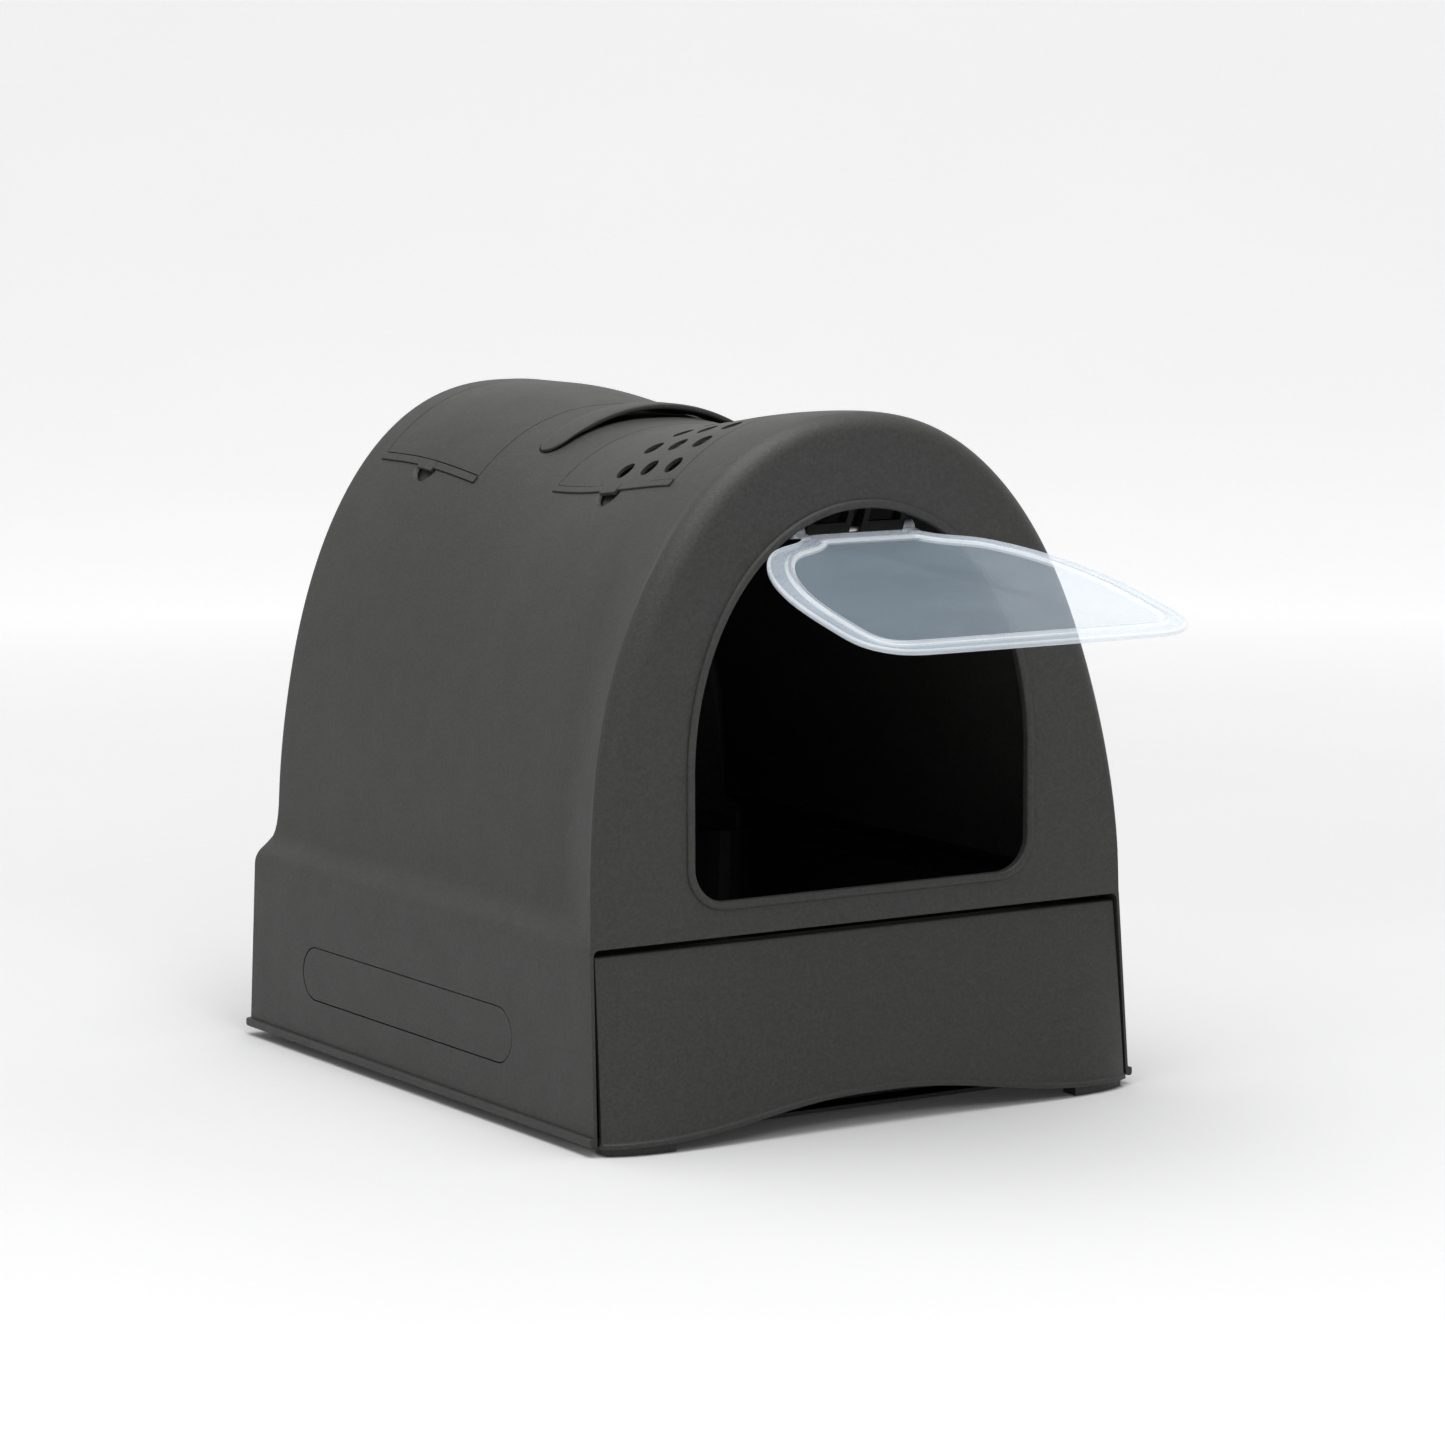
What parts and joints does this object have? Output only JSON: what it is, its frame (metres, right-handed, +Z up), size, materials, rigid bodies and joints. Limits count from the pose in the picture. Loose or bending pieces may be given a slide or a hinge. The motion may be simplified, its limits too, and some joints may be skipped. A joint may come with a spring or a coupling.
{
  "type": "hooded cat litter box",
  "caption": "Domed cat litter box with a swinging entry flap, a pull-out litter drawer, a vented filter lid, a storage lid and a carrying strap.",
  "frame": {"origin": "middle of the footprint, on the floor under the centre foot", "axes": "+X to the right when facing the entry, +Y from the entry to the rear, +Z up"},
  "size_m": [0.4, 0.6387, 0.434],
  "materials": {
    "charcoal_plastic": "fine-grained matte moulded plastic",
    "dark_plastic": "matte black moulded plastic",
    "frosted_flap": "milky translucent, glossy",
    "carbon_felt": "black carbon-filled felt",
    "foot_rubber": "matte",
    "steel_pin": "bright drawn wire"
  },
  "bodies": {
    "base": {"hood_shell": "charcoal_plastic", "base_tray": "dark_plastic", "filter_cradle": "dark_plastic", "carbon_filter": "carbon_felt", "storage_bin": "dark_plastic", "carry_handle": "charcoal_plastic", "handle_screw_left": "steel_pin", "handle_screw_right": "steel_pin", "filter_lid_pin": "steel_pin", "storage_lid_pin": "steel_pin", "flap_bracket_left": "dark_plastic", "flap_bracket_right": "dark_plastic", "flap_hinge_rod": "steel_pin", "foot_front_left": "foot_rubber", "foot_front_right": "foot_rubber", "foot_rear_left": "foot_rubber", "foot_rear_right": "foot_rubber", "foot_centre": "foot_rubber"},
    "drawer": {"drawer_front": "charcoal_plastic", "litter_pan": "dark_plastic", "drawer_glide_left": "dark_plastic", "drawer_glide_right": "dark_plastic"},
    "flap": {"entry_flap": "frosted_flap"},
    "filter_cover": {"filter_lid": "charcoal_plastic"},
    "storage_cover": {"storage_lid": "charcoal_plastic"},
    "latch_left": {"side_latch_left": "charcoal_plastic"},
    "latch_right": {"side_latch_right": "charcoal_plastic"}
  },
  "joints": [
    {"name": "drawer_slide", "type": "slide", "parent": "base", "child": "drawer", "axis": [0, -1, 0], "range_m": [0, 0.36]},
    {"name": "flap_swing", "type": "hinge", "parent": "base", "child": "flap", "pos_m": [0, -0.205, 0.3625], "axis": [1, 0, 0], "range_deg": [-8, 144]},
    {"name": "filter_lid_hinge", "type": "hinge", "parent": "base", "child": "filter_cover", "pos_m": [0.10697, -0.0895, 0.3848], "axis": [0, 1, 0], "range_deg": [0, 110]},
    {"name": "storage_lid_hinge", "type": "hinge", "parent": "base", "child": "storage_cover", "pos_m": [0.11375, 0.13375, 0.38584], "axis": [0, 1, 0], "range_deg": [0, 110]},
    {"name": "latch_left_press", "type": "slide", "parent": "base", "child": "latch_left", "axis": [1, 0, 0], "range_m": [0, 0.004], "stiffness_N_per_m": 800},
    {"name": "latch_right_press", "type": "slide", "parent": "base", "child": "latch_right", "axis": [-1, 0, 0], "range_m": [0, 0.004], "stiffness_N_per_m": 800}
  ]
}
